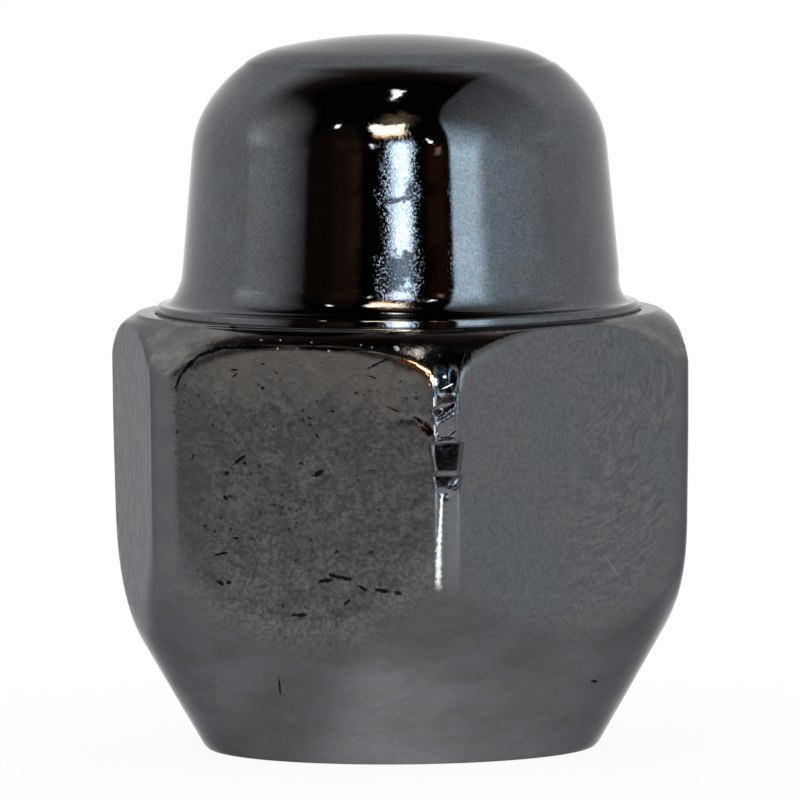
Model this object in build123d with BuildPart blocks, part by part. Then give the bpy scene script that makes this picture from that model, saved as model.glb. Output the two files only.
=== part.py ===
from build123d import *

import os
from math import radians, tan

# A wheel nut with a closed end, in two pieces that are joined for good: a forged hexagon
# body with a tapered seat, and a pressed cap with a flared foot that is set into its top.
# The nut stands on the small end of its seat at Z = 0, with its axis on Z and with two of
# its wrench flats square to Y. Lengths are in millimetres and angles in degrees.

# Hexagon body
across_flats = 19.0
flat_draft = 1.3
corner_radius = 1.2
body_height = 15.35
body_radius = 10.85
shoulder_drop = 2.0
shoulder_bulge = 0.36
shoulder_ledge = 0.38

# Tapered seat under the hexagon
seat_end_radius = 6.86
seat_half_angle = 30.0
seat_blend_radius = 7.0
end_chamfer = 0.12

# M12 x 1.5 thread: the hole is as drilled for the tap, and its mouth clears a stud's crests
thread_radius = 6.0
tapping_radius = 5.25
mouth_clearance = 0.15

# Outside of the cap
cap_height = 24.95
cap_draft = 5.2
crown_radius = 19.2
knuckle_radius = 3.9
foot_neck_radius = 7.65
foot_rise = 1.25
foot_bulge = 0.17
foot_edge_radius = 8.47

# Inside of the cap, as its punch leaves it, and the cap's fit in the body
punch_clearance = 0.45
punch_nose_chamfer = 2.2
crown_wall = 1.1
cap_seat_depth = 0.9
lip_chamfer = 0.12

neck_height = body_height + foot_rise
cap_seat = body_height - cap_seat_depth
punch_radius = thread_radius + punch_clearance
punch_height = cap_height - crown_wall
shoulder_radius = foot_edge_radius + shoulder_ledge
shoulder_start = body_height - shoulder_drop
seat_top = (body_radius - seat_end_radius) / tan(radians(seat_half_angle))

# Hexagon body: a drafted hexagon with round corners, turned to its shoulder and its seat
with BuildPart() as hex_body:
    with BuildSketch(Plane.XY):
        RegularPolygon(radius=across_flats / 2, side_count=6, major_radius=False)
    extrude(amount=body_height)
    flats = hex_body.faces().filter_by(Axis.Z, reverse=True)
    draft(flats, Plane.XY.offset(body_height), -flat_draft)
    corners = hex_body.edges().filter_by(Plane.XY, reverse=True)
    fillet(corners, corner_radius)
    with BuildSketch(Plane.XZ) as round_form:
        with BuildLine():
            Polyline(
                (0, body_height),
                (0, 0),
                (seat_end_radius, 0),
                (body_radius, seat_top),
                (body_radius, shoulder_start),
            )
            SagittaArc(
                (body_radius, shoulder_start),
                (shoulder_radius, body_height),
                -shoulder_bulge,
            )
            Line((shoulder_radius, body_height), (0, body_height))
        make_face()
        fillet(round_form.vertices().group_by(Axis.Y)[1], seat_blend_radius)
        chamfer(round_form.vertices().group_by(Axis.Y)[0].sort_by(Axis.X)[-1], end_chamfer)
    revolve(axis=Axis.Z, mode=Mode.INTERSECT)
    with Locations((0, 0, body_height)):
        CounterBoreHole(
            radius=tapping_radius,
            counter_bore_radius=foot_edge_radius,
            counter_bore_depth=cap_seat_depth,
        )
    rings = hex_body.edges().filter_by(GeomType.CIRCLE).group_by(Axis.Z)
    mouth = rings[0].sort_by(SortBy.RADIUS)[0]
    lip = rings[-1].sort_by(SortBy.RADIUS)[0]
    chamfer(mouth, thread_radius + mouth_clearance - tapping_radius)
    chamfer(lip, lip_chamfer)

# Cap: pressed over a straight round punch, with its foot down in the body's counterbore
with BuildPart() as dome_cap:
    with BuildSketch(Plane.XZ) as cap_outline:
        with BuildLine():
            crown_centre = (0, cap_height - crown_radius)
            crown_circle = CenterArc(crown_centre, crown_radius, 0, 90, mode=Mode.PRIVATE)
            base = Polyline(
                (0, cap_height),
                (0, cap_seat),
                (foot_edge_radius, cap_seat),
                (foot_edge_radius, body_height),
            )
            foot = SagittaArc(base @ 1, (foot_neck_radius, neck_height), foot_bulge)
            side = IntersectingLine(foot @ 1, (-tan(radians(cap_draft)), 1), crown_circle)
            RadiusArc(side @ 1, base @ 0, -crown_radius)
        make_face()
        fillet(cap_outline.vertices().sort_by_distance(side @ 1)[0], knuckle_radius)
    revolve(axis=Axis.Z)
    with BuildSketch(Plane.XZ) as punch:
        with Locations((0, cap_seat)):
            Rectangle(punch_radius, punch_height - cap_seat, align=Align.MIN)
        chamfer(punch.vertices().group_by(Axis.Y)[-1].sort_by(Axis.X)[-1], punch_nose_chamfer)
    revolve(axis=Axis.Z, mode=Mode.SUBTRACT)

hex_body.part.label = "hex_body"
dome_cap.part.label = "dome_cap"

os.makedirs("parts", exist_ok=True)
export_step(hex_body.part, "parts/hex_body.step")
export_step(dome_cap.part, "parts/dome_cap.step")
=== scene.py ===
import bpy
import numpy as np
from mathutils import Matrix, Vector


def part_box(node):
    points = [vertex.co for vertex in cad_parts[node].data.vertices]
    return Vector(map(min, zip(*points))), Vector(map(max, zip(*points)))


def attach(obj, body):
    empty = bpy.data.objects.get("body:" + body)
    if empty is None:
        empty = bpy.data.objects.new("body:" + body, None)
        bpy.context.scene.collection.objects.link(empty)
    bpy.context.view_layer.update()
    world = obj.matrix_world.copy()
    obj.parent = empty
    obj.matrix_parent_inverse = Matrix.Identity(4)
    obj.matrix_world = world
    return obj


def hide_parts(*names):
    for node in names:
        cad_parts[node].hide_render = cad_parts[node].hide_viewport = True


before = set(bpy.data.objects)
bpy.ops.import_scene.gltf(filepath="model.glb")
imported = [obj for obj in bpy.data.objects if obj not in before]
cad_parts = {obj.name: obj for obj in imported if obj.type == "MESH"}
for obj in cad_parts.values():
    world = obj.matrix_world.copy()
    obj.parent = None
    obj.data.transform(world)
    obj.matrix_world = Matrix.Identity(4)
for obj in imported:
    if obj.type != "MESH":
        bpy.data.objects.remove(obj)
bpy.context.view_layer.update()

# ---------------------------------------------------------------------------------------
# The forged body: a drafted steel hexagon, turned to a round shoulder above and to a 60
# degree seat below, drilled and tapped M12 x 1.5 right through, then plated. Its flats have
# taken wrenches and its near corner is bruised.
body_low, body_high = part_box("hex_body")
cap_low, cap_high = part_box("dome_cap")
ledge_height = body_high.z
flat_reach = (body_high.y - body_low.y) / 2
flat_draft = np.tan(np.radians(0.45))
foot_reach = (cap_high.x - cap_low.x) / 2
cap_seat = cap_low.z

# Corner rounds by bearing 30, 90 ... 330 degrees, and how much deeper than the turned form
# the shoulder lies, by bearing 0, 30 ... 330 degrees.
corner_round = np.array([0.3, 1.2, 1.3, 1.25, 1.05, 1.46]) / 1000
shoulder_trim = np.array([0.53, 0.08, -0.27, 0, 0.05, 0, -0.1, 0, 0.1, 0, 0.15, 0.2]) / 1000

# The near corner is worn to a narrow land, and wrenches have left steps in it: each one's
# foot and top in millimetres, how far it leans back in degrees, and how much the foot and the
# top rise to the right per millimetre.
worn_corner = np.radians(30)
near_corner = np.radians(5.4)
corner_reach = 0.0107
land_depth = 0.00023
land_edge = 0.00004
edge_spread = 0.9
land_steps = [
    (9.92, 10.37, 6.5, 0, 0),
    (10.51, 11.47, 5.5, 0, 0),
    (11.56, 12.34, -1.8, 0, 0.55),
    (12.60, 12.78, 8.0, 0.60, 0.25),
    (12.88, 13.40, -1.8, 0, 0),
]

seat_reach = 0.00686
seat_slope = np.tan(np.radians(30))
seat_blend = 0.0058
turned_reach = 0.01075
shoulder_reach = foot_reach + 0.00063
shoulder_drop = 0.00175
shoulder_power = 1.38

thread_pitch = 0.0015
thread_root = 0.006
thread_crest = 0.00525
mouth_reach = 0.00615


def rise(value, low, high):
    """0 below low and 1 above high, with a smooth step of 3t^2 - 2t^3 between them."""
    t = np.clip((value - low) / (high - low), 0, 1)
    return t * t * (3 - 2 * t)


def soft_least(a, b, blend):
    """The smaller of a and b, less blend/4 where they are equal, so that their edge is
    rounded over a width of about blend. Also the share of a in it."""
    share = np.clip(0.5 + 0.5 * (b - a) / blend, 0, 1)
    return b + (a - b) * share - blend * share * (1 - share), share


def nearest(bearing):
    """The nearest flat and the nearest corner, numbered from 0 at bearings 0 and 30 degrees,
    and the angle from that flat."""
    flat = np.round(bearing / (np.pi / 3)).astype(int) % 6
    corner = np.round((bearing - np.pi / 6) / (np.pi / 3)).astype(int) % 6
    from_flat = (bearing + np.pi / 6) % (np.pi / 3) - np.pi / 6
    return flat, corner, from_flat


def hexagon_reach(bearing, height):
    """Radius of the drafted hexagon: its flat's reach over the cosine of the angle to the
    nearest flat, near a corner the far side of a circle that touches both flats, and on the
    worn corner a plane square to it, stepped back where a wrench bit. Also where that plane's
    edges are, from 0 to 1."""
    reach = flat_reach - flat_draft * (ledge_height - height)
    _, corner, from_flat = nearest(bearing)
    from_corner = np.pi / 6 - np.abs(from_flat)
    radius = corner_round[corner]
    centre = (reach - radius) / np.cos(np.pi / 6)
    far_side = centre * np.cos(from_corner) + np.sqrt(
        np.clip(radius**2 - (centre * np.sin(from_corner)) ** 2, 0, None)
    )
    touch = np.arctan2(radius / 2, centre + radius * np.cos(np.pi / 6))
    hexagon = np.where(from_corner < touch, far_side, reach / np.cos(from_flat))
    land = reach / np.cos(np.pi / 6) - land_depth
    aside = (bearing - worn_corner) * corner_reach
    for foot, top, lean, foot_tilt, top_tilt in land_steps:
        foot = foot / 1000 + foot_tilt * aside
        top = top / 1000 + top_tilt * aside
        above = np.clip(height - foot, 0, top - foot)
        back = 1 - rise(height, top, top + land_edge)
        land = land - np.tan(np.radians(lean)) * above * back
    land = land / np.cos(bearing - worn_corner)
    worn = np.abs(bearing - worn_corner) < near_corner
    least, share = soft_least(hexagon, land, land_edge)
    edge = np.where(worn, 4 * share * (1 - share), 0)
    for beside in (1, -1):
        edge = np.maximum(edge, edge_spread * np.roll(edge, beside, axis=1))
    return np.where(worn, least, hexagon), edge


def turned_seat(height):
    """Radius of the 30 degree cone from the end face, then an arc that touches the cone and
    the upright line at the turned reach."""
    corner = (turned_reach - seat_reach) / seat_slope
    tangent = seat_blend * np.tan(np.radians(15))
    cone = seat_reach + seat_slope * height
    above = np.clip(corner + tangent - height, 0, seat_blend)
    arc = turned_reach - seat_blend + np.sqrt(seat_blend**2 - above**2)
    return np.where(height < corner - tangent * np.cos(np.radians(30)), cone, arc)


def grid_mesh(name, points, close_rows):
    """A mesh of quads over points[row, column]: the columns wrap round, the rows wrap too
    if close_rows, and otherwise a fan to one more vertex closes each end of the rows."""
    rows, columns = points.shape[:2]
    index = np.arange(rows * columns).reshape(rows, columns)
    if close_rows:
        index = np.vstack([index, index[:1]])
    ahead = np.roll(index, -1, axis=1)
    quads = np.stack([index[:-1], ahead[:-1], ahead[1:], index[1:]], -1).reshape(-1, 4)
    vertices = points.reshape(-1, 3)
    faces = quads.tolist()
    if not close_rows:
        ends = [points[0].mean(axis=0), points[-1].mean(axis=0)]
        first, last = len(vertices), len(vertices) + 1
        vertices = np.vstack([vertices, ends])
        fan = np.stack([ahead[0], index[0], np.full(columns, first)], -1)
        faces += fan.tolist()
        fan = np.stack([index[-1], ahead[-1], np.full(columns, last)], -1)
        faces += fan.tolist()
    mesh = bpy.data.meshes.new(name)
    mesh.from_pydata(vertices, [], faces)
    mesh.shade_smooth()
    return mesh


def arc_steps(start, end, count):
    """count even steps from start to end, without the end."""
    return np.linspace(start, end, count, endpoint=False)


# Columns lie close together round each corner, where the light turns in a few tenths of a
# millimetre, and further apart on the flats.
bearing = []
for corner in range(6):
    middle = worn_corner + corner * np.pi / 3
    count = 60 if corner == 0 else 22
    bearing.append(middle + arc_steps(-near_corner, near_corner, count))
    bearing.append(middle + arc_steps(near_corner, np.pi / 3 - near_corner, 20))
bearing = np.concatenate(bearing)

# The turned outside from the end face up to the ledge round the cap. Its rows lie closer
# together above the foot of the flats, and closest beside the worn land.
end_edge = 0.00016
end_face_middle = 0.0064
flats_foot = 0.0031
land_foot = 0.0097
low_heights = np.r_[
    arc_steps(end_edge, flats_foot, 12),
    arc_steps(flats_foot, land_foot, 42),
    arc_steps(land_foot, ledge_height - shoulder_drop, 84),
]
turn = np.radians(np.linspace(0, 90, 44))
power = 2 / shoulder_power
top_heights = ledge_height - shoulder_drop * (1 - np.sin(turn) ** power)
top_radii = shoulder_reach + (turned_reach - shoulder_reach) * np.cos(turn) ** power
end_turn = np.radians(np.linspace(-90, -30, 5))[:-1]
end_radii = seat_reach + end_edge * (np.cos(end_turn) - 0.8)
end_heights = end_edge * (1 + np.sin(end_turn))
outer_radii = np.r_[mouth_reach, end_face_middle, end_radii, turned_seat(low_heights), top_radii]
outer_heights = np.r_[0, 0, end_heights, low_heights, top_heights]

# The shoulder's trim, and the turned form cut by the hexagon.
height = outer_heights[:, None] + 0 * bearing
radius = outer_radii[:, None] + 0 * bearing
trim_start, trim_full, trim_end = ledge_height - np.array([0.00245, 0.0006, 0.00012])
on_shoulder = rise(height, trim_start, trim_full) * (1 - rise(height, trim_end, ledge_height))
twelfth = bearing / (np.pi / 6)
before = np.floor(twelfth).astype(int) % 12
past = rise(twelfth % 1, 0, 1)
trim = shoulder_trim[before] * (1 - past) + shoulder_trim[(before + 1) % 12] * past
radius = radius - trim * on_shoulder * (radius > shoulder_reach)
blend_low, blend_high = 0.0004, 0.00014
blend = blend_low + (blend_high - blend_low) * rise(height, 0.007, 0.012)
hexagon, shaded_land_edges = hexagon_reach(bearing, height)
radius, turned_share = soft_least(radius, hexagon, blend)
flat_share = 1 - turned_share

# Bruises beside the worn corner: bearing, height, half length, half width, turn, depth.
bruises = [
    (30.4, 13.66, 0.42, 0.36, 90, 0.20),
    (26.2, 12.1, 0.36, 0.10, -36, 0.075),
    (28.3, 12.55, 0.11, 0.08, 20, 0.040),
    (30.2, 11.68, 0.30, 0.04, 12, 0.020),
    (31.3, 10.15, 0.20, 0.06, 40, 0.030),
    (29.6, 9.72, 0.16, 0.07, -25, 0.035),
]
for at, up, length, width, turned, depth in bruises:
    aside = (bearing - np.radians(at)) * corner_reach * 1000
    above = height * 1000 - up
    lean = np.radians(turned)
    lengthways = aside * np.cos(lean) + above * np.sin(lean)
    crossways = above * np.cos(lean) - aside * np.sin(lean)
    radius -= depth / 1000 * np.exp(-((lengthways / length) ** 2) - (crossways / width) ** 2)

# The ledge, the lip, the seat cut for the cap, and the thread down to its mouth.
lip = 0.00012
cap_gap = 0.00004
crest_flat, root_flat = 0.25, 0.125
lip_turn = np.radians(np.linspace(0, 90, 5))
ledge_radii = foot_reach + np.array([0.0003, 0.0002])
lip_radii = foot_reach + cap_gap + lip * (1 - np.sin(lip_turn))
lip_heights = ledge_height - lip * (1 - np.cos(lip_turn))
seat_radii = np.array([foot_reach + cap_gap, 0.0075, 0.0062])
thread_heights = np.linspace(cap_seat, 0.00002, 92)
thread_turn = thread_heights[:, None] / thread_pitch - bearing / (2 * np.pi)
from_crest = np.abs((thread_turn % 1) - 0.5) * 2
cut = np.clip((from_crest - crest_flat) / (1 - crest_flat - root_flat), 0, 1)
thread_radius = thread_crest + (thread_root - thread_crest) * cut
thread_radius = np.maximum(thread_radius, mouth_reach - thread_heights[:, None])
ring_radii = np.r_[ledge_radii, lip_radii, seat_radii]
ring_heights = np.r_[np.full(2, ledge_height), lip_heights, np.full(3, cap_seat)]
inner_heights = np.r_[ring_heights, thread_heights]
radius = np.vstack([radius, ring_radii[:, None] + 0 * bearing, thread_radius])
height = np.vstack([height, inner_heights[:, None] + 0 * bearing])
points = np.stack([radius * np.sin(bearing), -radius * np.cos(bearing), height], -1)
body_mesh = grid_mesh("hexagon_body", points, close_rows=True)


def paint(mesh, name, values):
    """Stores one number per vertex under that name, and 0 on the vertices past the end."""
    layer = mesh.attributes.new(name, "FLOAT", "POINT")
    full = np.zeros(len(mesh.vertices), np.float32)
    full[: values.size] = values.ravel()
    layer.data.foreach_set("value", full)


# What the plating goes by: each point's share in a flat and in the front one, how far along
# its flat it lies, and the burr on the front flat's upper right edge, painted as a warm
# highlight.
outer_x, outer_y, outer_z = np.moveaxis(points[: len(flat_share)], -1, 0)
flat_of, corner_of, from_flat = nearest(bearing)
flat_turn = flat_of * np.pi / 3
along_flat = outer_x * np.cos(flat_turn) + outer_y * np.sin(flat_turn)
front_flat = np.where(flat_of == 0, flat_share, 0)
burr_foot = 0.0131, 0.0134
burr_left = 0.0033, 0.0038
burr_right = 0.00486, 0.00498
burr_highlight = 4 * flat_share * (1 - flat_share) * (flat_of == 0)
burr_highlight = burr_highlight * rise(outer_z, *burr_foot) * rise(outer_x, *burr_left)
burr_highlight = burr_highlight * (1 - rise(outer_x, *burr_right))

# The corner rounds and the worn one, that one's edges, painted dark as shade, and the painted
# highlight lines beside it and beside the far left corner.
round_reach = 0.0105
land_half_width = 0.0004
edge_highlight_width = 0.00006
from_corner = np.pi / 6 - np.abs(from_flat)
half_corner = np.where(corner_of == 0, land_half_width, corner_round[corner_of] / 2)
beside_corner = round_reach * np.sin(from_corner) - half_corner
on_corner = flat_share * (1 - rise(beside_corner, -0.00003, 0.00003))
worn = on_corner * (corner_of == 0)
lined = (corner_of == 0) & (bearing > worn_corner) | (corner_of == 5) & (flat_of == 5)
edge_highlight = flat_share * lined * np.exp(-((beside_corner / edge_highlight_width) ** 2))
shaded_land_edges = shaded_land_edges * flat_share * rise(outer_z, land_foot, land_foot + 0.0002)

# Three dents pressed into the worn corner, painted near black inside as the dark they reflect:
# height, half height and half width of each in millimetres. The lower two end where the
# shoulder begins.
dents_middle = 0.00534
shoulder_foot = 0.013
dents_painted_dark = 0 * flat_share
for up, length, width in ((10.99, 0.50, 0.40), (10.16, 0.22, 0.38), (13.87, 0.68, 0.37)):
    up, length, width = up / 1000, length / 1000, width / 1000
    above = np.abs(outer_z - up)
    aside = np.abs(outer_x - dents_middle)
    inside = 1 - rise(above, length - 0.00003, length + 0.00002)
    inside = inside * (1 - rise(aside, width - 0.00002, width + 0.00003))
    inside = inside * (np.abs(bearing - worn_corner) < near_corner)
    dents_painted_dark = np.maximum(dents_painted_dark, inside * (flat_share if up < shoulder_foot else 1))

painted = {
    "flat_share": flat_share,
    "front_flat": front_flat,
    "along_flat": along_flat,
    "burr_highlight": burr_highlight,
    "edge_highlight": edge_highlight,
    "shaded_land_edges": shaded_land_edges,
    "on_corner": on_corner,
    "worn": worn,
    "dents_painted_dark": dents_painted_dark,
}
for name, values in painted.items():
    paint(body_mesh, name, values)
body = bpy.data.objects.new("hexagon_body", body_mesh)
bpy.context.scene.collection.objects.link(body)
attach(body, "root")
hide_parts("hex_body")


def shader(tree, kind, inputs=None, **settings):
    """Adds one node: settings are its own properties, and inputs are its sockets by name or
    number, each a value or another node's output."""
    node = tree.nodes.new("ShaderNode" + kind)
    for name, value in settings.items():
        setattr(node, name, value)
    for name, value in (inputs or {}).items():
        if isinstance(value, bpy.types.NodeSocket):
            tree.links.new(value, node.inputs[name])
        else:
            node.inputs[name].default_value = value
    return node


def math(tree, operation, *values):
    """The output of one Math node on those values."""
    inputs = dict(enumerate(values))
    return shader(tree, "Math", inputs, operation=operation).outputs[0]


def times(tree, first, *others):
    """The product of those values."""
    for other in others:
        first = math(tree, "MULTIPLY", first, other)
    return first


def rest(tree, value):
    """What that value leaves of 1."""
    return math(tree, "SUBTRACT", 1.0, value)


def step(tree, value, low, high, to_low=0.0, to_high=1.0):
    """A smooth step of value from to_low at low to to_high at high."""
    inputs = {
        "Value": value,
        "From Min": low,
        "From Max": high,
        "To Min": to_low,
        "To Max": to_high,
    }
    node = shader(tree, "MapRange", inputs, interpolation_type="SMOOTHSTEP")
    return node.outputs["Result"]


def noise(tree, where, scale, detail=4.0, roughness=0.6, distortion=0.0):
    """Noise from 0 to 1 with about scale lumps to the metre."""
    inputs = {
        "Vector": where,
        "Scale": scale,
        "Detail": detail,
        "Roughness": roughness,
        "Distortion": distortion,
    }
    return shader(tree, "TexNoise", inputs).outputs["Fac"]


def noise_on(tree, where, stretch, scale, detail=4.0, roughness=0.6):
    """The same noise with the place first multiplied by stretch along X, Y and Z."""
    mapped = shader(tree, "Mapping", {"Vector": where, "Scale": stretch}).outputs[0]
    return noise(tree, mapped, scale, detail, roughness)


def mix(tree, share, first, second):
    """Colour first where share is 0 and second where it is 1."""
    node = shader(tree, "Mix", {"Factor": share}, data_type="RGBA")
    for socket, value in (("A", first), ("B", second)):
        target = next(s for s in node.inputs if s.name == socket and s.type == "RGBA")
        if isinstance(value, bpy.types.NodeSocket):
            tree.links.new(value, target)
        else:
            target.default_value = (*value, 1)
    return next(s for s in node.outputs if s.type == "RGBA")


def new_metal(name, rim):
    """A metallic material whose rims are that share of white: the material, its node tree,
    its shader and its Object coordinates."""
    material = bpy.data.materials.new(name)
    material.use_nodes = True
    tree = material.node_tree
    metal = tree.nodes["Principled BSDF"]
    metal.inputs["Metallic"].default_value = 1.0
    metal.inputs["Specular Tint"].default_value = (rim, rim, rim * 1.03, 1)
    place = shader(tree, "TexCoord").outputs["Object"]
    return material, tree, metal, place


def emboss(tree, metal, lumps):
    """Bumps on the metal, 0.01 mm high where lumps is 1."""
    bump = shader(tree, "Bump", {"Height": lumps, "Distance": 0.00001, "Strength": 1.0})
    tree.links.new(bump.outputs[0], metal.inputs["Normal"])


def wear_attribute(tree, name):
    """The painted number of that name."""
    return shader(tree, "Attribute", attribute_name=name).outputs["Fac"]


def nick(tree, place, middle, turned, length, width):
    """1 in the middle of an ellipse on the front flat, falling evenly to 0 at its edge: its
    middle and half sizes in millimetres, and its turn in degrees."""
    inputs = {
        "Vector": place,
        "Location": (middle[0] / 1000, 0, middle[1] / 1000),
        "Rotation": (0, -np.radians(turned), 0),
        "Scale": (length / 1000, 1, width / 1000),
    }
    mapped = shader(tree, "Mapping", inputs, vector_type="TEXTURE").outputs[0]
    return shader(tree, "TexGradient", {0: mapped}, gradient_type="SPHERICAL").outputs["Fac"]


def marks(tree, place, ellipses, ragged):
    """1 inside any of those ellipses on the side towards -Y, with ragged edges."""
    found = 0.0
    for middle, turned, length, width in ellipses:
        found = math(tree, "MAXIMUM", nick(tree, place, middle, turned, length, width), found)
    ragged = times(tree, ragged, step(tree, found, 0.0, 0.25))
    found = step(tree, math(tree, "ADD", found, ragged), 0.07, 0.47)
    depth = shader(tree, "SeparateXYZ", {0: place}).outputs["Y"]
    return times(tree, found, math(tree, "LESS_THAN", depth, 0.0))


# Nicks on the front flat, where a wrench has slipped: middle, turn, half length, half width.
nicks_and_painted_shade = [
    ((0.70, 10.38), 26, 0.40, 0.110),
    ((-2.27, 10.77), 36, 0.42, 0.080),
    ((-2.73, 10.30), 31, 0.16, 0.080),
    ((-2.07, 10.65), 0, 0.09, 0.080),
    ((0.04, 10.69), -12, 0.15, 0.065),
    ((-2.79, 9.43), -37, 0.20, 0.095),
    ((-3.59, 8.44), 0, 0.08, 0.070),
    ((-2.45, 8.05), -3, 0.16, 0.070),
    ((-2.97, 7.49), 12, 0.34, 0.060),
    ((-3.04, 6.48), -26, 0.17, 0.090),
    ((-2.72, 6.50), 7, 0.13, 0.080),
    ((0.89, 6.65), 8, 0.34, 0.100),
    ((1.45, 6.78), -10, 0.62, 0.100),
    ((2.28, 6.41), -28, 0.32, 0.080),
    ((2.96, 6.35), -7, 0.42, 0.100),
    ((3.56, 6.28), -9, 0.18, 0.080),
    ((-0.10, 5.43), 3, 0.36, 0.090),
    ((1.67, 5.92), 35, 0.24, 0.060),
    ((-2.40, 13.89), 7, 0.22, 0.050),
    ((-2.42, 13.69), 33, 0.20, 0.055),
    ((-1.36, 14.12), -7, 0.12, 0.060),
    ((-0.86, 13.81), -34, 0.12, 0.055),
    ((-1.37, 13.28), -19, 0.09, 0.075),
    ((2.95, 14.23), 26, 0.58, 0.060),
    ((2.72, 13.72), -18, 0.26, 0.045),
    ((2.10, 13.17), -34, 0.12, 0.060),
    ((3.46, 12.63), -22, 0.36, 0.040),
    ((4.40, 12.26), -38, 0.34, 0.100),
    ((4.70, 12.00), -42, 0.40, 0.250),
    ((0.36, 12.27), -24, 0.10, 0.060),
    ((1.21, 12.52), -12, 0.10, 0.055),
    ((0.62, 11.66), -42, 0.13, 0.060),
    ((-3.97, 10.88), 0, 0.07, 0.070),
    ((2.13, 10.16), -24, 0.07, 0.070),
    ((1.34, 7.66), -31, 0.09, 0.050),
]
# Painted shade in the fold along the flat's upper left edge, dark marks in the worn corner,
# partly cuts and partly painted shade where its steps reflect the dark, and a scratch and a
# spot on the seat.
nicks_and_painted_shade += [
    ((-4.50, 13.50), 68, 0.42, 0.080),
    ((-4.08, 14.02), 43, 0.62, 0.120),
    ((-3.30, 14.50), 20, 0.85, 0.110),
    ((-1.70, 14.67), 2, 1.70, 0.105),
    ((1.20, 14.67), -1, 2.10, 0.095),
    ((5.14, 12.52), 5, 0.26, 0.190),
    ((5.40, 12.68), 32, 0.38, 0.120),
    ((5.54, 11.82), 38, 0.22, 0.050),
    ((5.31, 11.68), 3, 0.38, 0.040),
    ((5.61, 9.90), 35, 0.20, 0.045),
    ((5.29, 9.72), 0, 0.08, 0.060),
    ((-1.26, 2.86), 82, 0.42, 0.060),
    ((8.09, 2.70), 0, 0.06, 0.080),
]
# Bare steel painted bright as glints where that corner is dented, specks and the front flat's
# bright edge, and painted glints along the shoulder.
glints = [
    ((4.94, 13.63), -55, 0.23, 0.140),
    ((5.22, 13.76), 0, 0.06, 0.060),
    ((5.37, 13.45), 28, 0.27, 0.034),
    ((4.96, 12.92), 90, 0.20, 0.030),
    ((4.97, 11.95), 90, 0.24, 0.040),
    ((3.50, 14.72), -35, 0.16, 0.085),
    ((-1.49, 14.91), 0, 0.05, 0.040),
    ((-0.77, 14.92), 0, 0.05, 0.045),
    ((0.40, 14.88), 0, 0.05, 0.045),
    ((2.24, 14.82), 0, 0.05, 0.040),
    ((2.65, 14.75), 0, 0.05, 0.040),
    ((-0.80, 14.65), 0, 0.04, 0.040),
    ((-0.10, 14.65), 0, 0.05, 0.040),
    ((1.10, 14.60), 0, 0.05, 0.040),
]
# Painted shade along the shoulder above the front flat, a spot of rust beside the cap, and
# scratches on the front flat and on the one to its right.
painted_shade_on_shoulder = [
    ((-2.60, 14.86), 12, 1.30, 0.140),
    ((-1.20, 14.98), 5, 1.80, 0.240),
    ((0.80, 14.98), 0, 2.20, 0.260),
    ((2.60, 14.94), -5, 1.70, 0.220),
    ((4.25, 14.72), -20, 0.55, 0.320),
]
rust = [((-2.76, 15.33), 0, 0.20, 0.120)]
scratches = [((-3.21, 13.83), -64, 0.52, 0.028), ((9.09, 6.80), -67, 0.66, 0.024)]

plated, tree, metal, place = new_metal("dark_plating_on_body", 0.50)
on_flat = wear_attribute(tree, "flat_share")
off_flat = rest(tree, on_flat)
on_corner = wear_attribute(tree, "on_corner")
worn = wear_attribute(tree, "worn")
x, y, z = shader(tree, "SeparateXYZ", {0: place}).outputs
cloud = noise(tree, place, 260, detail=5)
grain = noise(tree, place, 1900, detail=5, roughness=0.65)
speck = noise(tree, place, 6500, detail=3, roughness=0.6)

# The turned parts: blue-grey, smeared round the part.
smear = noise_on(tree, place, (1, 1, 2.4), 420, detail=7, roughness=0.66)
tone = mix(tree, step(tree, smear, 0.30, 0.70), (0.090, 0.091, 0.095), (0.118, 0.124, 0.134))
tone = mix(tree, step(tree, grain, 0.35, 0.75, 0, 0.45), tone, (0.126, 0.120, 0.113))
tone = mix(tree, step(tree, speck, 0.35, 0.60, 0.25, 0), tone, (0.070, 0.072, 0.078))

# The shoulder above the flats, rubbed lighter.
shoulder = times(tree, step(tree, z, 0.0131, 0.0142), off_flat)
lighter = mix(tree, step(tree, smear, 0.38, 0.62), (0.138, 0.138, 0.141), (0.222, 0.211, 0.198))
lighter = mix(tree, step(tree, grain, 0.42, 0.70, 0, 0.55), lighter, (0.124, 0.115, 0.107))
tone = mix(tree, shoulder, tone, lighter)

# The flats: ground, so that fine lines run round a point near each one's upper edge.
grind_height = 0.0136
grind_length = 0.0009
above = math(tree, "SUBTRACT", z, grind_height)
beside = wear_attribute(tree, "along_flat")
reach = math(tree, "MULTIPLY_ADD", above, above, times(tree, beside, beside))
reach = math(tree, "SQRT", reach)
round_it = times(tree, math(tree, "ARCTAN2", beside, above), grind_length)
polar = shader(tree, "CombineXYZ", {0: reach, 1: round_it, 2: on_flat}).outputs[0]
grind = noise(tree, polar, 5600, detail=4, roughness=0.65, distortion=0.4)
grind = step(tree, grind, 0.36, 0.64)
faded = mix(tree, step(tree, beside, -0.0015, 0.0025, 0.75, 0), grind, (0.5, 0.5, 0.5))
ground = mix(tree, faded, (0.094, 0.100, 0.108), (0.142, 0.142, 0.142))
ground = mix(tree, step(tree, cloud, 0.42, 0.62, 0, 0.55), ground, (0.106, 0.117, 0.133))
ground = mix(tree, step(tree, speck, 0.35, 0.62, 0.40, 0), ground, (0.056, 0.060, 0.068))
tone = mix(tree, on_flat, tone, ground)

# The corner rounds, smooth and dark, and the worn one, lighter.
smooth_tone = mix(tree, step(tree, smear, 0.3, 0.7), (0.086, 0.089, 0.097), (0.112, 0.113, 0.115))
tone = mix(tree, times(tree, on_corner, 0.9), tone, smooth_tone)
worn_tone = mix(tree, step(tree, grain, 0.3, 0.7), (0.150, 0.158, 0.174), (0.196, 0.204, 0.218))
tone = mix(tree, worn, tone, worn_tone)

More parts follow.
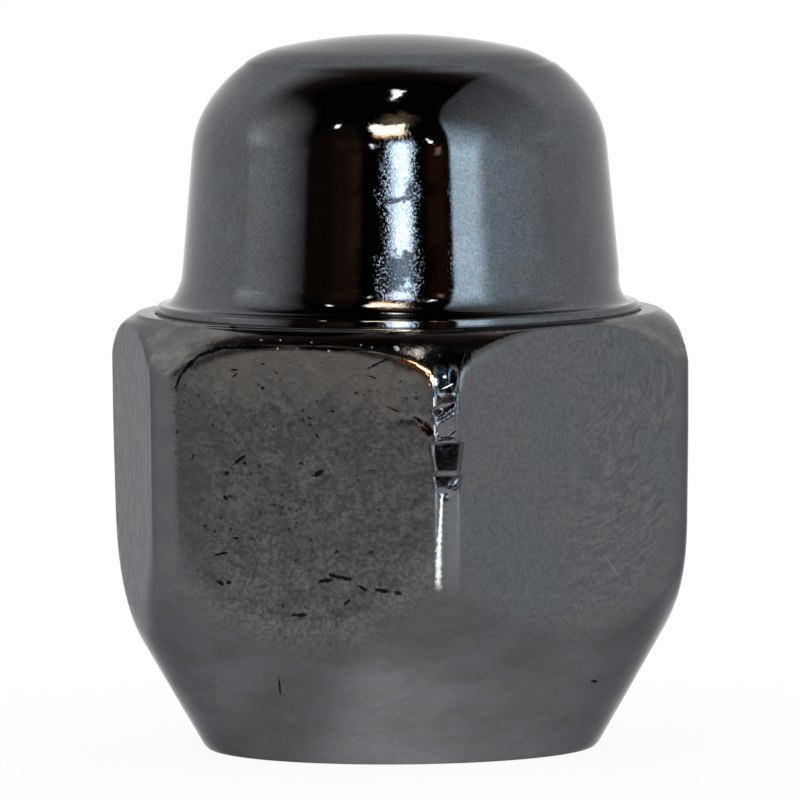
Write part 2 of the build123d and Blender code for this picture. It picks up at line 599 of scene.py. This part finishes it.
# The front flat: rubbed brown and speckled, up to a ragged line beside the far corner, darker
# beside that line and lighter towards its upper edge.
wander = step(tree, noise(tree, place, 1500, detail=4), 0.3, 0.7, -0.00012, 0.00012)
near_side = step(tree, math(tree, "ADD", beside, wander), -0.00476, -0.00460)
on_front = times(tree, wear_attribute(tree, "front_flat"), near_side, rest(tree, worn))
blotch = noise(tree, place, 1150, detail=6, roughness=0.72, distortion=0.4)
stain = noise(tree, place, 420, detail=4, roughness=0.6)
blotched = step(tree, blotch, 0.32, 0.68)
rubbed_tone = mix(tree, blotched, (0.098, 0.097, 0.096), (0.166, 0.158, 0.148))
for share, colour in (
    (step(tree, stain, 0.50, 0.66, 0, 0.6), (0.096, 0.105, 0.118)),
    (step(tree, grain, 0.50, 0.72, 0, 0.55), (0.060, 0.055, 0.052)),
    (step(tree, speck, 0.40, 0.60, 0.6, 0), (0.036, 0.033, 0.032)),
    (times(tree, grind, 0.30), (0.150, 0.145, 0.138)),
    (step(tree, beside, -0.0046, -0.0028, 0.65, 0), (0.082, 0.087, 0.097)),
):
    rubbed_tone = mix(tree, share, rubbed_tone, colour)
top_light = math(tree, "MULTIPLY_ADD", blotch, 0.004, z)
top_light = step(tree, top_light, 0.0138, 0.0160, 0, 0.6)
top_light = times(tree, top_light, step(tree, beside, -0.0046, -0.0024, 0.3, 1))
rubbed_tone = mix(tree, top_light, rubbed_tone, (0.190, 0.180, 0.168))
tone = mix(tree, on_front, tone, rubbed_tone)

# Pits in the front flat, closer together where it is stained: spots in the cells of a bent
# pattern, each cell with its own chance of holding one.
bend = shader(tree, "TexNoise", {"Vector": place, "Scale": 2600.0}).outputs["Color"]
inputs = {0: bend, 1: (0.00024, 0.00024, 0.00024), 2: place}
bent = shader(tree, "VectorMath", inputs, operation="MULTIPLY_ADD").outputs[0]
cells = shader(tree, "TexVoronoi", {"Vector": bent, "Scale": 3600.0}, feature="F1")
chance = shader(tree, "SeparateXYZ", {0: cells.outputs["Color"]}).outputs[0]
chance = math(tree, "ADD", chance, step(tree, stain, 0.40, 0.70, -0.12, 0.20))
pits = step(tree, cells.outputs["Distance"], 0.12, 0.32, 1, 0)
pits = times(tree, pits, step(tree, chance, 0.74, 0.90), on_front)

# The nicks and other marks, with painted shade among them, the dents, painted blue-black
# inside as the dark they reflect, and the worn corner's edges, painted dark as shade.
ragged = step(tree, speck, 0.3, 0.7, 0.2, -0.2)
ragged = math(tree, "ADD", ragged, step(tree, grain, 0.3, 0.7, 0.12, -0.12))
holes_and_painted_shade = math(tree, "MAXIMUM", times(tree, pits, 0.7), marks(tree, place, nicks_and_painted_shade, ragged))
# Painted shade along the shoulder above the front flat, near black.
shoulder_shade = times(tree, marks(tree, place, painted_shade_on_shoulder, ragged), off_flat, 0.75)
tone = mix(tree, shoulder_shade, tone, (0.034, 0.026, 0.023))
tone = mix(tree, marks(tree, place, rust, ragged), tone, (0.060, 0.022, 0.018))
scratched = times(tree, marks(tree, place, scratches, ragged), 0.55)
tone = mix(tree, scratched, tone, (0.21, 0.205, 0.20))
# Nicks, pits, and the painted shade in the fold and in the worn corner, near black.
tone = mix(tree, holes_and_painted_shade, tone, (0.013, 0.010, 0.009))
# The dents: painted shade, near black with bluish specks, for the dark they reflect.
dents_and_painted_shade = times(tree, wear_attribute(tree, "dents_painted_dark"), step(tree, speck, 0.28, 0.5, 0.75, 1.0))
dent_light = times(tree, step(tree, grain, 0.46, 0.62), step(tree, x, 0.0051, 0.0055, 1, 0.1))
dent_painted_shade = mix(tree, dent_light, (0.004, 0.005, 0.006), (0.060, 0.080, 0.110))
tone = mix(tree, dents_and_painted_shade, tone, dent_painted_shade)
# Painted shade along the worn land's edges, dark grey.
shaded_land_edges = wear_attribute(tree, "shaded_land_edges")
tone = mix(tree, shaded_land_edges, tone, (0.036, 0.037, 0.041))

# Bare steel and painted highlights: a line along the worn corner's left edge, wider towards
# its foot, bare steel painted bright as its highlight; the painted glints; the burr, painted
# copper-orange as a warm highlight; and painted highlight lines beside the corners.
line_at = math(tree, "MULTIPLY_ADD", z, 0.0613, 0.004575)
from_line = math(tree, "ABSOLUTE", math(tree, "SUBTRACT", x, line_at))
line_width = step(tree, z, 0.0064, 0.0098, 0.00015, 0.00006)
bare_steel_and_highlights = rest(tree, math(tree, "DIVIDE", from_line, line_width))
bare_steel_and_highlights = math(tree, "ADD", bare_steel_and_highlights, step(tree, speck, 0.3, 0.7, -0.22, 0.22))
bare_steel_and_highlights = step(tree, bare_steel_and_highlights, 0.0, 1.0)
bare_steel_and_highlights = times(tree, bare_steel_and_highlights, step(tree, z, 0.0063, 0.0067), step(tree, z, 0.0095, 0.0098, 1, 0))
bare_steel_and_highlights = times(tree, bare_steel_and_highlights, math(tree, "LESS_THAN", y, 0.0))
bare_steel_and_highlights = math(tree, "MAXIMUM", bare_steel_and_highlights, marks(tree, place, glints, ragged))
burr_glint = step(tree, wear_attribute(tree, "burr_highlight"), 0.25, 0.7)
# Painted highlight lines beside the worn corner and beside the far left corner.
edge_highlight = times(tree, wear_attribute(tree, "edge_highlight"), step(tree, z, 0.0094, 0.0099, 0.6, 0.1))
tone = mix(tree, edge_highlight, tone, (0.19, 0.19, 0.19))
# Painted highlights: the bright corner line and the glints, near white.
tone = mix(tree, bare_steel_and_highlights, tone, (0.86, 0.86, 0.85))
# The burr: a painted warm highlight, copper-orange.
tone = mix(tree, burr_glint, tone, (0.88, 0.60, 0.38))
tree.links.new(tone, metal.inputs["Base Color"])

satin = step(tree, on_flat, 0, 1, 0.12, 0.28)
smooth = math(tree, "MAXIMUM", on_corner, burr_glint)
for share, rough in ((smooth, 0.08), (worn, 0.14), (shaded_land_edges, 0.30), (bare_steel_and_highlights, 0.40)):
    satin = mix(tree, share, satin, (rough, rough, rough))
satin = math(tree, "ADD", satin, step(tree, grain, 0.3, 0.8, -0.03, 0.05))
tree.links.new(satin, metal.inputs["Roughness"])
lumps = times(tree, grain, 0.7)
crumbs = times(tree, dents_and_painted_shade, speck)
for part, share in ((cloud, 3.0), (speck, 0.25), (holes_and_painted_shade, -0.5), (crumbs, 0.8)):
    lumps = math(tree, "MULTIPLY_ADD", part, share, lumps)
emboss(tree, metal, lumps)
body_mesh.materials.append(plated)

# ---------------------------------------------------------------------------------------
# The cap: steel sheet pressed over a round punch into a deep dome, its foot flared and
# squared off, set into the body's ledge and closed there. Plated bright and smooth.
cap_top = cap_high.z + 0.00007
crown_slope = 0.010
crown_radius = 0.0197
knuckle_radius = 0.00399
knuckle_power = 1.915
neck_reach = 0.007665
neck_height = ledge_height + 0.0014
side_draft = np.tan(np.radians(5.14))
rim_height = ledge_height + 0.0003
rim_edge = 0.00016
cap_lean = 0.0001
flare_power = 0.95
punch_reach = 0.00645
punch_chamfer = 0.0022
punch_height = cap_top - 0.0011
sight = np.radians(21.19)

# The knuckle's centre lies one knuckle radius inside both the side and the crown.
slant = np.hypot(1, side_draft)
crown_centre = cap_top - crown_radius
height_guess = np.linspace(neck_height, cap_top, 4000)
centre_line = neck_reach - side_draft * (height_guess - neck_height) - knuckle_radius * slant
gap = np.hypot(centre_line, height_guess - crown_centre) - (crown_radius - knuckle_radius)
knuckle_at = np.argmin(np.abs(gap))
knuckle_x, knuckle_z = centre_line[knuckle_at], height_guess[knuckle_at]
crown_tilt = np.arctan2(knuckle_x, knuckle_z - crown_centre)

tilt = np.linspace(0.02, crown_tilt, 16)[:-1]
crown = crown_radius * np.sin(tilt), crown_centre + crown_radius * np.cos(tilt)
tilt = np.linspace(crown_tilt, np.pi / 2 - np.arctan(side_draft), 36)
swell = (np.abs(np.sin(tilt)) ** knuckle_power + np.abs(np.cos(tilt)) ** knuckle_power) ** (
    -1 / knuckle_power
)
swell = 1 - (1 - swell) * np.sin(np.linspace(0, np.pi, 36)) ** 2
knuckle = (
    knuckle_x + knuckle_radius * swell * np.sin(tilt),
    knuckle_z + knuckle_radius * swell * np.cos(tilt),
)
side_z = np.linspace(knuckle[1][-1], neck_height, 24)[1:-1]
side = neck_reach - side_draft * (side_z - neck_height), side_z
turn = np.linspace(0, np.pi / 2, 18)
flare_foot = foot_reach - rim_edge * 1.6
flare = (
    neck_reach + (flare_foot - neck_reach) * (1 - np.cos(turn)) ** flare_power,
    neck_height - (neck_height - rim_height) * np.sin(turn),
)
turn = np.linspace(0, np.pi / 2, 8)
roll = (
    foot_reach - rim_edge + rim_edge * np.sin(turn),
    rim_height - rim_edge * (1 - np.cos(turn)),
)
rim = np.full(4, foot_reach), np.linspace(ledge_height - 0.0001, cap_seat, 4)
base = np.linspace(foot_reach, punch_reach, 4)[1:], np.full(3, cap_seat)
bore = np.full(10, punch_reach), np.linspace(cap_seat, punch_height - punch_chamfer, 11)[1:]
nose_radii = np.r_[punch_reach - punch_chamfer, 0.0025, 0.0002]
nose = nose_radii, np.full(3, punch_height)
profile = np.hstack([crown, knuckle, side, flare, roll, rim, base, bore, nose])
around = np.linspace(0, 2 * np.pi, 256, endpoint=False)
radius, height = profile[0][:, None], profile[1][:, None] + 0 * around
lean = cap_lean * rise(height, ledge_height + 0.0004, ledge_height + 0.0015)
crown_share = rise(height, knuckle_z, cap_top) * (profile[0][:, None] < neck_reach)
slope = crown_slope * crown_share * (height > punch_height + 0.0001)
points = np.stack(
    [
        radius * np.sin(around) + lean * np.cos(sight),
        -radius * np.cos(around) + lean * np.sin(sight),
        height - slope * radius * np.sin(around - sight),
    ],
    -1,
)
cap_mesh = grid_mesh("domed_cap", points[::-1], close_rows=False)
cap = bpy.data.objects.new("domed_cap", cap_mesh)
bpy.context.scene.collection.objects.link(cap)
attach(cap, "root")
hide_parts("dome_cap")


def along(tree, where, axis):
    """How far that place lies along the axis."""
    inputs = {0: where, 1: axis}
    return shader(tree, "VectorMath", inputs, operation="DOT_PRODUCT").outputs["Value"]


# The plating: bright, clouded blue and brown, its rims less bright round the crown.
bright, tree, metal, place = new_metal("dark_plating_on_cap", 0.8)
up = shader(tree, "SeparateXYZ", {0: place}).outputs["Z"]
tree.links.new(step(tree, up, 0.0230, 0.0242, 0.80, 0.60), metal.inputs["Specular Tint"])
cloud = noise(tree, place, 300, detail=5)
grain = noise(tree, place, 1700, detail=5, roughness=0.7)
stain = noise(tree, place, 900, detail=4)
pitting = noise(tree, place, 11500, detail=3, roughness=0.65)
tone = mix(tree, step(tree, cloud, 0.34, 0.66), (0.104, 0.105, 0.107), (0.119, 0.130, 0.143))
tone = mix(tree, step(tree, grain, 0.36, 0.66, 0, 0.65), tone, (0.086, 0.095, 0.108))
tone = mix(tree, step(tree, stain, 0.52, 0.7, 0, 0.5), tone, (0.126, 0.118, 0.110))
tone = mix(tree, step(tree, pitting, 0.36, 0.60, 0.7, 0), tone, (0.062, 0.066, 0.074))
tree.links.new(step(tree, grain, 0.3, 0.7, 0.025, 0.06), metal.inputs["Roughness"])

# Fine pits in the cap's side, deepest in one ring above its foot and one half way up, down a
# narrow strip of its front. In the rings they leave the plating dull there.
up = math(tree, "ADD", up, step(tree, noise(tree, place, 1100), 0.3, 0.7, -0.0004, 0.0004))
pit_depth = step(tree, noise(tree, place, 420, detail=3), 0.35, 0.62, 0.05, 0.17)
ringed = 0.0
for low, high in ((0.0165, 0.0181), (0.0195, 0.0203)):
    ring = step(tree, up, low, low + 0.0003)
    ring = times(tree, ring, step(tree, up, high - 0.0003, high, 1, 0))
    pit_depth = math(tree, "MAXIMUM", pit_depth, times(tree, ring, 0.42))
    ringed = math(tree, "MAXIMUM", ringed, ring)
aside = math(tree, "ABSOLUTE", along(tree, place, (np.cos(sight), np.sin(sight), 0)))
facing = along(tree, place, (np.sin(sight), -np.cos(sight), 0))
facing = step(tree, facing, 0.001, 0.004)
pit_depth = times(tree, pit_depth, step(tree, up, 0.0205, 0.0225, 1, 0.12), facing)
pit_depth = times(tree, pit_depth, step(tree, aside, 0.0002, 0.0011, 1, 0.07))
dull = times(tree, ringed, step(tree, pitting, 0.50, 0.62, 1, 0), facing)
dull = times(tree, dull, step(tree, aside, 0.0010, 0.0020, 0.95, 0))
tone = mix(tree, dull, tone, (0.010, 0.012, 0.015))
tree.links.new(tone, metal.inputs["Base Color"])
pits = step(tree, pitting, 0.50, 0.68)
lumps = math(tree, "MULTIPLY_ADD", pits, pit_depth, times(tree, grain, 0.14))
lumps = math(tree, "MULTIPLY_ADD", times(tree, pitting, pit_depth), 0.8, lumps)
emboss(tree, metal, lumps)
cap_mesh.materials.append(bright)

# ---------------------------------------------------------------------------------------
# The table and the light tent: a white floor and white surroundings, with an unlit gap
# in front and overhead where the tent is open, and a few small lamps in the gap.
right = Vector((np.cos(sight), np.sin(sight), 0))
front = Vector((np.sin(sight), -np.cos(sight), 0))
floor_front = 0.14
floor_size = 2.0
corners = [
    right * x + front * y + Vector((0, 0, -0.00001))
    for x, y in (
        (-floor_size, floor_front),
        (floor_size, floor_front),
        (floor_size, -floor_size),
        (-floor_size, -floor_size),
    )
]
floor_mesh = bpy.data.meshes.new("table")
floor_mesh.from_pydata(corners, [], [(0, 1, 2, 3)])
floor = bpy.data.objects.new("table", floor_mesh)
bpy.context.scene.collection.objects.link(floor)

white = bpy.data.materials.new("white_table")
white.use_nodes = True
tree = white.node_tree
tree.nodes.clear()
path = shader(tree, "LightPath")
seen = math(tree, "MAXIMUM", path.outputs["Is Camera Ray"], path.outputs["Is Glossy Ray"])
seen = math(tree, "MAXIMUM", seen, path.outputs["Is Transmission Ray"])
matt = shader(tree, "BsdfDiffuse", {"Color": (0.96, 0.96, 0.96, 1)})

# What the metal reflects of the table: brightest in the middle and dimmest left of it, then a
# ring a little dim, and plain white further out. The camera sees plain white.
spot = shader(tree, "TexCoord").outputs["Object"]
aside = along(tree, spot, right)
sheen = step(tree, aside, -0.0050, -0.0008, 0.78, 1.50)
for low, high, low_value, high_value in (
    (-0.0088, -0.0062, 1.28, 1.0),
    (0.0006, 0.0042, 1.0, 0.72),
    (0.0042, 0.0065, 1.0, 0.88),
):
    sheen = times(tree, sheen, step(tree, aside, low, high, low_value, high_value))
away = shader(tree, "VectorMath", {0: spot}, operation="LENGTH").outputs["Value"]
sheen = step(tree, away, 0.0095, 0.0122, sheen, 0.86)
sheen = step(tree, away, 0.014, 0.022, sheen, 1.0)
sheen = mix(tree, path.outputs["Is Camera Ray"], sheen, (1, 1, 1))
glow = shader(tree, "Emission", {"Color": (1, 1, 1, 1), "Strength": sheen})
share = times(tree, seen, 0.93)
mixed = shader(tree, "MixShader", {0: share, 1: matt.outputs[0], 2: glow.outputs[0]})
shader(tree, "OutputMaterial", {"Surface": mixed.outputs[0]})
floor_mesh.materials.append(white)

world = bpy.data.worlds.new("tent")
bpy.context.scene.world = world
world.use_nodes = True
tree = world.node_tree
tree.nodes.clear()
toward = shader(tree, "TexCoord").outputs["Generated"]


def band(value, low, high, soft):
    """1 between low and high, falling to 0 over soft on each side."""
    enter = step(tree, value, low - soft, low + soft)
    leave = step(tree, value, high - soft, high + soft, 1, 0)
    return times(tree, enter, leave)


def patch(middle_x, middle_pitch, width, height, soft=0.02):
    """1 in a patch of the surroundings, by its middle and half sizes across and in pitch."""
    beside = band(across, middle_x - width, middle_x + width, soft)
    over = band(pitch, middle_pitch - height, middle_pitch + height, 60 * soft)
    return times(tree, beside, over)


def edge_by_pitch(points):
    """How far across an edge of the gap lies, as a smooth line through points of pitch and
    across."""
    level = math(tree, "MULTIPLY_ADD", true_pitch, 1 / 360, 0.5)
    node = shader(tree, "FloatCurve", {"Value": level})
    line = node.mapping.curves[0]
    places = [(at / 360 + 0.5, (edge + 1) / 2) for at, edge in points]
    line.points[0].location = places[0]
    line.points[1].location = places[-1]
    for at in places[1:-1]:
        line.points.new(*at)
    node.mapping.update()
    return math(tree, "MULTIPLY_ADD", node.outputs[0], 2.0, -1.0)


def ramp(value, start, end):
    """0 at start and 1 at end, evenly between them."""
    inputs = {"Value": value, "From Min": start, "From Max": end}
    return shader(tree, "MapRange", inputs).outputs[0]


# Where a ray points: across and upward from -1 to 1, and its pitch in degrees, from 0, level
# and towards the camera, to 90, straight up. The lamps go by a ruffled across and pitch.
true_across = along(tree, toward, right)
upward = along(tree, toward, (0, 0, 1))
true_pitch = math(tree, "ARCTAN2", upward, along(tree, toward, front))
true_pitch = math(tree, "DEGREES", true_pitch)
ruffle = step(tree, noise(tree, toward, 9, detail=3), 0.2, 0.8, -0.03, 0.03)
across = math(tree, "ADD", true_across, ruffle)
ruffle = step(tree, noise(tree, toward, 14), 0.2, 0.8, -3.5, 3.5)
pitch = math(tree, "ADD", true_pitch, ruffle)

# The gap's two edges, by pitch and how far across.
left_edge = edge_by_pitch(
    [(-180, -0.8), (8, -0.79), (35, -0.74), (50, -0.69), (66, -0.60), (86, -0.55), (180, -0.6)]
)
right_edge = edge_by_pitch(
    [(-180, 0.48), (8, 0.47), (32, 0.43), (64, 0.31), (92, 0.37), (180, 0.45)]
)

# The white walls, from the gap's edges outward: the left one grows lighter from nearly dark,
# and the right one from a fifth, full white low down. Both are lightest far out and overhead.
left_depth = math(tree, "SUBTRACT", left_edge, true_across)
left_room = math(tree, "ADD", left_edge, 1.0)
left_in = math(tree, "MAXIMUM", math(tree, "DIVIDE", left_depth, left_room), 0.0)
left_low = math(tree, "ADD", left_in, 0.15)
left_high = math(tree, "MULTIPLY_ADD", math(tree, "POWER", left_in, 1.25), 1.40, 0.03)
left_wall = step(tree, upward, 0.20, 0.38, left_low, left_high)
right_depth = math(tree, "SUBTRACT", true_across, right_edge)
right_room = rest(tree, right_edge)
right_wall = math(tree, "DIVIDE", right_depth, right_room)
right_wall = math(tree, "MULTIPLY_ADD", right_wall, 0.75, 0.2)
right_wall = math(tree, "MAXIMUM", right_wall, step(tree, true_pitch, 25, 70, 1, 0))
on_right = math(tree, "GREATER_THAN", true_across, 0.0)
wall = times(tree, rest(tree, on_right), left_wall)
wall = math(tree, "MULTIPLY_ADD", on_right, right_wall, wall)
far_out = step(tree, upward, 0.20, 0.38, 1.0, 1.4)
far_out = step(tree, math(tree, "ABSOLUTE", true_across), 0.90, 0.99, 1.0, far_out)
overhead = step(tree, true_across, 0.3, 0.7, 1.35, 1.05)
overhead = step(tree, upward, 0.12, 0.32, 1.0, overhead)
overhead = step(tree, true_pitch, 45, 100, 1.0, overhead)
wall = times(tree, wall, far_out, overhead)

# A bluish shine on the right wall beside the gap, and a fainter one round it.
shine = times(tree, band(true_across, 0.2, 0.71, 0.07), step(tree, true_pitch, 10, 62, 1, 0))
wall = mix(tree, shine, wall, (3.2, 3.9, 4.3))
faint = times(tree, band(true_across, 0.2, 0.9, 0.2), step(tree, true_pitch, 20, 70, 0.6, 0))
wall = mix(tree, times(tree, faint, rest(tree, shine)), wall, (1.3, 1.6, 1.8))

# Inside the gap it is dark, brown low on the left and red low on the right.
room = noise(tree, toward, 5, detail=4)
brown = times(tree, band(true_across, -0.9, -0.36, 0.03), step(tree, true_pitch, 25, 60, 1, 0))
dark = mix(tree, brown, (0.004, 0.004, 0.005), (0.035, 0.018, 0.010))
lit = times(tree, brown, step(tree, true_across, -0.68, -0.42, 0, 1))
lit = times(tree, lit, step(tree, room, 0.40, 0.65, 0.35, 1))
dark = mix(tree, lit, dark, (0.13, 0.075, 0.042))
red = times(tree, band(true_across, 0.26, 0.42, 0.05), step(tree, true_pitch, 10, 40, 1, 0))
dark = mix(tree, red, dark, (0.09, 0.035, 0.018))
dark = mix(tree, step(tree, true_pitch, 92, 106), dark, (0.07, 0.035, 0.025))

# The gap in the walls, its left edge softer higher up, and the lamps in it.
soft = step(tree, true_pitch, 20, 95, 0.012, 0.05)
left_start, left_end = (math(tree, way, left_edge, soft) for way in ("SUBTRACT", "ADD"))
right_start, right_end = (math(tree, way, right_edge, 0.012) for way in ("ADD", "SUBTRACT"))
gap = ramp(true_across, left_start, left_end)
gap = times(tree, gap, ramp(true_across, right_start, right_end))
tent = mix(tree, gap, wall, dark)
for lamp, colour in (
    (patch(-0.02, 53, 0.10, 5, 0.09), (1.1, 0.75, 0.42)),
    (patch(-0.10, 36.5, 0.13, 3.0, 0.03), (9.0, 4.5, 1.8)),
    (patch(-0.10, 42.5, 0.14, 6.0), (14.0, 11.5, 8.5)),
    (patch(0.012, 5, 0.085, 21, 0.05), (12.0, 14.0, 16.0)),
    (patch(-0.010, 80.5, 0.030, 3.2, 0.012), (18.0, 17.5, 16.0)),
    (patch(-0.50, 51, 0.020, 2.2, 0.01), (14.0, 13.0, 12.0)),
    (patch(-0.268, 23, 0.012, 1.8, 0.008), (12.0, 11.5, 11.0)),
    (patch(0.285, 28, 0.014, 2.2, 0.008), (14.0, 14.0, 13.0)),
    (patch(0.355, 18, 0.022, 5, 0.015), (1.5, 0.8, 0.53)),
):
    tent = mix(tree, lamp, tent, colour)

# Behind and below the tent is closed, and all but reflections see plain white.
tent = mix(tree, step(tree, true_pitch, 103, 127), tent, (1, 1, 1))
tent = mix(tree, step(tree, true_pitch, -100, -60), (1, 1, 1), tent)
path = shader(tree, "LightPath")
tent = mix(tree, path.outputs["Is Glossy Ray"], (1, 1, 1), tent)
sky = shader(tree, "Background", {"Color": tent, "Strength": 1.0})
shader(tree, "OutputWorld", {"Surface": sky.outputs[0]})

# ---------------------------------------------------------------------------------------
# The camera: a long lens, a little above the table.
distance = 0.5416
rise_angle = np.radians(4.371)
roll_angle = np.radians(-0.465)
aim_height = 0.01218
aim_aside = 0.00004
back = front * np.cos(rise_angle) + Vector((0, 0, np.sin(rise_angle)))
aim = Vector((0, 0, aim_height)) + right * aim_aside
camera_data = bpy.data.cameras.new("camera")
camera_data.sensor_width = 36
camera_data.lens = 694.5
camera_data.clip_start = 0.01
camera_data.clip_end = 10
camera = bpy.data.objects.new("camera", camera_data)
bpy.context.scene.collection.objects.link(camera)
camera.matrix_world = (
    Matrix.Translation(aim + back * distance)
    @ back.to_track_quat("Z", "Y").to_matrix().to_4x4()
    @ Matrix.Rotation(roll_angle, 4, "Z")
)
bpy.context.scene.camera = camera
bpy.context.scene.view_settings.view_transform = "Standard"
